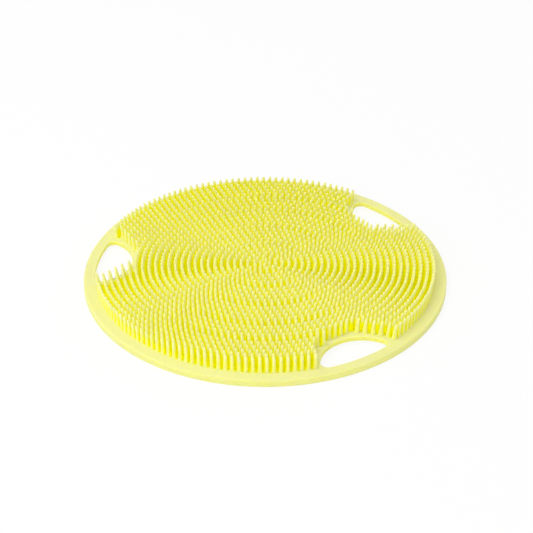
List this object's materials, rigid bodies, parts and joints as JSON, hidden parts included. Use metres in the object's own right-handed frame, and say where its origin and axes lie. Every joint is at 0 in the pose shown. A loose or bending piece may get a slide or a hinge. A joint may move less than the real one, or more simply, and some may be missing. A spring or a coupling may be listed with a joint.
{
  "type": "silicone body scrubber",
  "caption": "Round soft disc with finger openings near its rim and a dense field of short tapered bristles on one face.",
  "frame": {"origin": "centre of the rim's underside, which the scrubber rests on", "axes": "+Z along the disc's axis, towards the bristle tips; the middle opening lies towards -X"},
  "size_m": [0.15, 0.15, 0.0095],
  "materials": {
    "silicone": "matte"
  },
  "bodies": {
    "root": {"scrubber": "silicone"}
  },
  "joints": []
}
